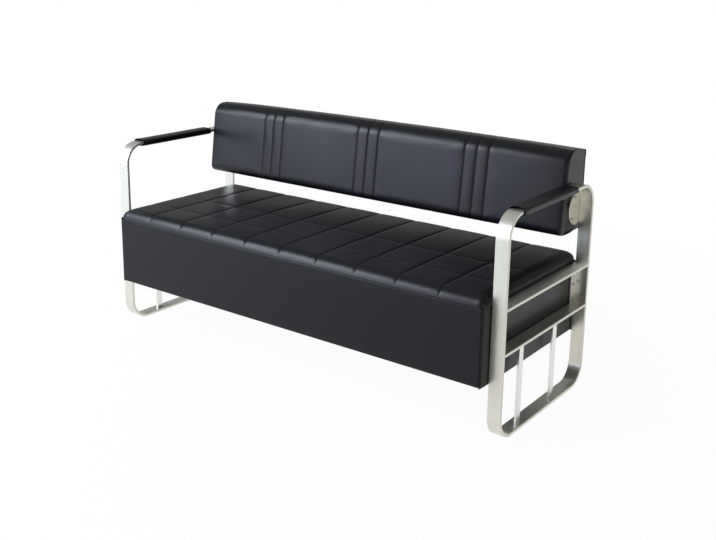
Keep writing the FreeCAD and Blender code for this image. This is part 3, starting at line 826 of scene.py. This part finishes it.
def tube_round(name, line, normal, radius, finish, sides=8):
    """A ring of points at c + r (cos a n + sin a b) round each point c of a closed flat line with normal n."""
    across = np.cross(normal, unit(np.roll(line, -1, 0) - np.roll(line, 1, 0)))
    tube = line[:, None] + radius * rings_round(np.array(normal, float), across, sides)
    trim_of(grid_piece(name, tube, finish, closed_rows=True, closed_columns=True))


piping_radius = 0.0018


def piped_panel(name, points, pipe_line, outward):
    """A panel of rings, and the piping round its edge."""
    panel = grid_piece(name + "_panel", points, black_leatherette, closed_columns=True)
    join_poles(panel, outward)
    cover_of(panel, name + "_cover", fill=panel_fill)
    tube_round(name + "_piping", pipe_line, np.abs(outward), piping_radius, black_leatherette)


def rectangle(across, up):
    """Four corners in turn, from the low and high values along two axes."""
    return [(across[0], up[0]), (across[1], up[0]), (across[1], up[1]), (across[0], up[1])]


end_pipe_sink, rear_pipe_rise = 0.0006, 0.0004
plain_outline = even_line(back_outline, back_radii, 170, closed=True, steps=20)
end_outline = drawn_in(plain_outline, end_draw, rear_draw, end_inset)
for side, name in ends:
    points = ringed_panel(end_outline, axis=0, foot=end_face - panel_sink, height=0.0010)
    points[..., 0] *= side
    pipe_line = np.insert(end_outline, 0, side * (end_face - end_pipe_sink), axis=1)
    piped_panel(name + "_back_end", points, pipe_line, (side, 0, 0))

rear_margin = 0.014
rear_half = back_end - rear_margin
rear_z = (underside + rear_margin, rear_top - rear_margin)
rear_outline = even_line(rectangle((-rear_half, rear_half), rear_z), [rear_radius] * 4, 240, closed=True)
points = ringed_panel(rear_outline, axis=1, foot=rear_y - 0.001, height=0.003)
pipe_line = np.insert(rear_outline, 1, rear_y + rear_pipe_rise, axis=1)
piped_panel("back_rear", arched(points), arched(pipe_line), (0, 1, 0))

fold_power, fold_margin = 0.4, 0.006
fold_turn = np.linspace(0, np.pi / 2, 13)
fold_middle = np.array([rear_half - 0.004, rear_y - 0.009])
fold_reach = np.array([end_face - 0.001, rear_y - 0.0005]) - fold_middle
fold_way = np.stack([np.cos(fold_turn), np.sin(fold_turn)], -1).clip(0) ** fold_power
fold_plan = fold_middle + fold_way * fold_reach
fold_heights = np.linspace(rear_top - fold_margin, underside + fold_margin, 14)
for side, name in ends:
    fold = np.empty((len(fold_heights), len(fold_plan), 3))
    fold[..., :2], fold[..., 2] = fold_plan[None] * (side, 1), fold_heights[::side, None]
    trim_of(grid_piece(name + "_back_rear_fold", fold, black_leatherette))
print("end panels at", round(float(end_face), 4), "and rear panel of half length", round(float(rear_half), 3))


# %% [markdown]
# ## Arm sleeves
# Each arm bar wears a padded sleeve between the front bend and the backrest. It is a tube of leatherette over thin
# foam, hemmed at both ends. A box round the bar would look hard, so one soft-cornered section is carried along the
# bar. It dips at the hem stitches. The hems are open and stand off the steel, and the top of the front one is raised,
# so that a dark hollow shows there.

# %% Slip the sleeves on the arms
def sleeve_section(count=44):
    """Flat oval with soft corners, as (cos a)^0.45 and (sin a)^0.6 with their signs, each from -1 to 1."""
    turn = np.linspace(0, 2 * np.pi, count, endpoint=False)
    c, s = np.cos(turn), np.sin(turn)
    return np.stack([np.sign(c) * np.abs(c) ** 0.45, np.sign(s) * np.abs(s) ** 0.6], -1)


# Distance from the mouth and shrinkage: inside the hem, round its fold, and over the dip at the stitches.
inside_hem = [(0.030, 0.0040), (0.006, 0.0026), (0.0012, 0.0022)]
hem_fold = [(0.0, 0.0014), (0.0004, 0.0007), (0.0016, 0.0003), (0.004, 0.0001)]
stitch_dip = [(0.008, 0.0002), (0.010, 0.0006), (0.011, 0.0010), (0.012, 0.0006), (0.014, 0.0002), (0.018, 0.0)]
hem_places, hem_shrink = np.array(inside_hem + hem_fold + stitch_dip).T
sleeve_full, mouth_lift, mouth_run = 0.0022, 0.0030, 0.020
hem_stitch, plain_rings, hem_run = 9, 30, 0.03
oval = sleeve_section()
hem_rows = []
for side, name in ends:
    low, high = corners(name + "_arm_sleeve")
    half, middle = (high - low) / 2, (high + low) / 2
    run = np.linspace(-half[1] + hem_run, half[1] - hem_run, plain_rings)
    along_arm = middle[1] + np.concatenate([hem_places - half[1], run, half[1] - hem_places[::-1]])
    shrink = np.concatenate([hem_shrink, np.zeros(plain_rings), hem_shrink[::-1]])
    points = np.empty((len(along_arm), len(oval), 3))
    points[..., 0] = middle[0] + oval[None, :, 0] * (half[0] - shrink)[:, None]
    points[..., 1] = along_arm[:, None]
    points[..., 2] = middle[2] + oval[None, :, 1] * (half[2] + sleeve_full - shrink)[:, None]
    from_mouth = np.exp(-(along_arm - low[1]) / mouth_run)
    points[..., 2] += mouth_lift * from_mouth[:, None] * ((1 - oval[:, 0] ** 2) * (oval[:, 1] > 0))[None]
    sleeve = grid_piece(name + "_arm_sleeve_cover", points, black_leatherette, closed_columns=True)
    smooth_once(sleeve)
    cover_of(sleeve, name + "_arm_sleeve", name + "_arm_foam", fill=panel_fill)
    oval_out = np.stack([oval[:, 0] ** 3 / half[0], np.zeros(len(oval)), oval[:, 1] ** 3 / half[2]], -1)
    for ring in (hem_stitch, len(along_arm) - 1 - hem_stitch):
        hem_rows.append((points[ring, [*range(len(oval)), 0]], oval_out[[*range(len(oval)), 0]]))
    print(name, "sleeve", np.round(high - low, 4).tolist())
stitches("sleeve_hem_stitching", hem_rows, pitch=0.005, length=0.0036)


# %% [markdown]
# ## Dust cloth
# Under the seat a black spunbonded cloth is stapled to the boards. It could be a flat plate, but such a cloth hangs
# through a little between its staples, so it is a sheet with a slight sag.

# %% Stretch the dust cloth
cloth_low, cloth_high = corners("seat_dust_cover")
cloth_lift, cloth_sag, cloth_thickness = 0.001, 0.002, 0.0006
u, v = np.meshgrid(np.linspace(-1, 1, 60), np.linspace(-1, 1, 30), indexing="ij")
cloth_points = np.empty((*u.shape, 3))
cloth_points[..., 0] = u * cloth_high[0]
cloth_points[..., 1] = (cloth_low[1] + cloth_high[1]) / 2 + v * (cloth_high[1] - cloth_low[1]) / 2
cloth_points[..., 2] = cloth_low[2] + cloth_lift - cloth_sag * (1 - u**2) * (1 - v**2)
under_cloth = grid_piece("seat_dust_cloth", cloth_points[:, ::-1], dust_cloth)
thick = under_cloth.modifiers.new("thickness", "SOLIDIFY")
thick.thickness = cloth_thickness
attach(under_cloth, "root")
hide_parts("seat_dust_cover")


# %% [markdown]
# ## Welds
# The ends of a loop's bar are butt-welded halfway up the rear leg and ground nearly flush, and a fine bead runs where
# rails and slats meet the loop. Grinding could be left to the bump of the steel, but a bead catches light, so each is
# a thin rippled tube.

# %% Lay the weld beads
def bead(line, radius, ripple=0.0022, sides=7):
    """Tube from the line's start to its end, of radius r (1 + 0.14 cos(2 pi s / ripple)), pointed at both ends."""
    start, end = np.asarray(line, float)
    length = np.linalg.norm(end - start)
    ahead = (end - start) / length
    s = np.linspace(0, length, max(int(length / ripple * 4), 8))
    rippled = radius * (1 + 0.14 * np.cos(2 * np.pi * s / ripple))
    width = rippled * np.sqrt(np.clip(np.minimum(s, length - s) / radius, 0.02, 1))
    beside = unit(np.cross(ahead, (0.577, 0.577, 0.577)))
    ring = rings_round(beside, np.cross(ahead, beside), sides)
    return start + ahead * s[:, None, None] + width[:, None, None] * ring[None]


bead_radius, leg_bead_radius, bar_corner = 0.0008, 0.0007, 0.0015
butt_weld_height, bar_thickness = 0.600, 0.010
rail_short, slat_short = 0.003, 0.002
for side, name in ends:
    loop_low, loop_high = corners(name + "_loop")
    tubes = []
    for rail in ("_upper_rail", "_lower_rail"):
        low, high = corners(name + rail)
        xs = (low[0] + rail_short, high[0] - rail_short)
        tubes += [bead([(x, y, z) for x in xs], bead_radius) for y in (low[1], high[1]) for z in (low[2], high[2])]
    for slat in ("_front_slat", "_rear_slat"):
        low, high = corners(name + slat)
        ys = (low[1] + slat_short, high[1] - slat_short)
        tubes += [bead([(x, y, z) for y in ys], bead_radius) for z in (low[2], high[2]) for x in (low[0], high[0])]
    points = np.concatenate([tube.reshape(-1, 3) for tube in tubes])
    trim_of(make_piece(name + "_loop_welds", points, tube_faces(tubes), weld_steel))
    leg_x, leg_y = (loop_low[0], loop_high[0]), (loop_high[1] - bar_thickness, loop_high[1])
    band_line = even_line(rectangle(leg_x, leg_y), [bar_corner] * 4, 120, closed=True, steps=6)
    weld_line = np.insert(band_line, 2, butt_weld_height, axis=1)
    tube_round(name + "_leg_weld", weld_line, (0, 0, 1), leg_bead_radius, weld_steel, 6)
    print(name, "loop has", len(tubes), "beads")


# %% [markdown]
# ## Stage and light
# A pale floor and soft lamps, as in a product studio: a weak one overhead, a long low one in front on the left, which
# the backrest and the apron mirror, and a strong one above that, which draws the light along the rolled edges. Both
# are a little cool. The background could be lit like the rest, but black leather is shot between flags. So the camera
# sees white all round, and mirror rays see a share of it: most of the floor near the bench, less of it far in front,
# little of it behind the bench, and of the walls only what is low.

# %% Build the stage
def softbox(name, place, target, size, power, colour=(1, 1, 1)):
    """A rectangular lamp that faces a target."""
    light = bpy.data.lights.new(name, "AREA")
    light.shape = "RECTANGLE"
    light.size, light.size_y = size
    light.energy, light.color = power, colour
    lamp = bpy.data.objects.new(name, light)
    lamp.location = place
    lamp.rotation_euler = (Vector(target) - Vector(place)).to_track_quat("-Z", "Y").to_euler()
    scene.collection.objects.link(lamp)


def seen_rays(tree, glossy_share):
    """1 for rays from the camera or through glass, and a share for mirror rays."""
    path = tree.node("ShaderNodeLightPath").socket.node.outputs
    camera_ray, glossy_ray, glass_ray = (
        Value(tree, path["Is " + kind + " Ray"]) for kind in ("Camera", "Glossy", "Transmission")
    )
    return camera_ray + glossy_ray * glossy_share + glass_ray


softbox("overhead_softbox", (-0.3, -0.2, 3.2), (0, 0, 0.5), (4.0, 3.0), 5)
softbox("front_softbox", (-2.5, -3.42, 0.98), (0, 0, 0.6), (3.2, 1.0), 58, (0.68, 0.77, 1.0))
softbox("upper_softbox", (-2.15, -2.25, 2.45), (0, 0.1, 0.6), (2.3, 1.7), 140, (0.80, 0.87, 1.0))

floor_half = 60.0
floor_grid = np.zeros((2, 2, 3))
floor_edges = (-floor_half, floor_half)
floor_grid[..., 0], floor_grid[..., 1] = np.meshgrid(floor_edges, floor_edges, indexing="ij")
floor_finish = bpy.data.materials.new("studio_floor")
floor_tree = Tree(floor_finish)
painted = floor_tree.node("ShaderNodeBsdfDiffuse", sockets={"Color": (0.86, 0.86, 0.86, 1)})
bright = floor_tree.node("ShaderNodeEmission", sockets={"Color": (1, 1, 1, 1), "Strength": 1.0})
place = floor_tree.pattern_place()
distance = floor_tree.node("ShaderNodeVectorMath", {"operation": "LENGTH"}, {0: place}, output=1)
rightwards = floor_tree.node("ShaderNodeSeparateXYZ", sockets={0: place})
rearwards = floor_tree.node("ShaderNodeSeparateXYZ", sockets={0: place}, output=1)
far = floor_tree.ramp(distance, (0.9, 2.6), (0.96, 1.0))
near_share = floor_tree.ramp(rearwards, (-1.4, -0.2), (0.62, 0.96))
behind = floor_tree.ramp(rearwards, (0.4, 0.9), (0.0, 0.8)) * floor_tree.ramp(rightwards, (1.0, 0.3), (0.0, 1.0))
floor_seen = seen_rays(floor_tree, near_share * (1 - behind)) * far
floor_mix = floor_tree.node("ShaderNodeMixShader", sockets={0: floor_seen, 1: painted, 2: bright})
floor_tree.node("ShaderNodeOutputMaterial", sockets={"Surface": floor_mix})
floor = grid_piece("studio_floor", floor_grid, floor_finish)

studio = bpy.data.worlds.new("studio")
scene.world = studio
air = Tree(studio)
direction = air.node("ShaderNodeTexCoord")
upwards = air.node("ShaderNodeSeparateXYZ", sockets={0: direction}, output=2)
rearwards = air.node("ShaderNodeSeparateXYZ", sockets={0: direction}, output=1)
wall_share = air.ramp(upwards, (0.02, 0.34), (0.9, 0.05)) * air.ramp(rearwards, (0.0, 0.5), (1.0, 0.3))
fill = air.node("ShaderNodeBackground", sockets={"Color": (1, 1, 1, 1), "Strength": 0.25})
white = air.node("ShaderNodeBackground", sockets={"Color": (1, 1, 1, 1), "Strength": 1.0})
air_mix = air.node("ShaderNodeMixShader", sockets={0: seen_rays(air, wall_share), 1: fill, 2: white})
air.node("ShaderNodeOutputWorld", sockets={"Surface": air_mix})
print("stage ready")
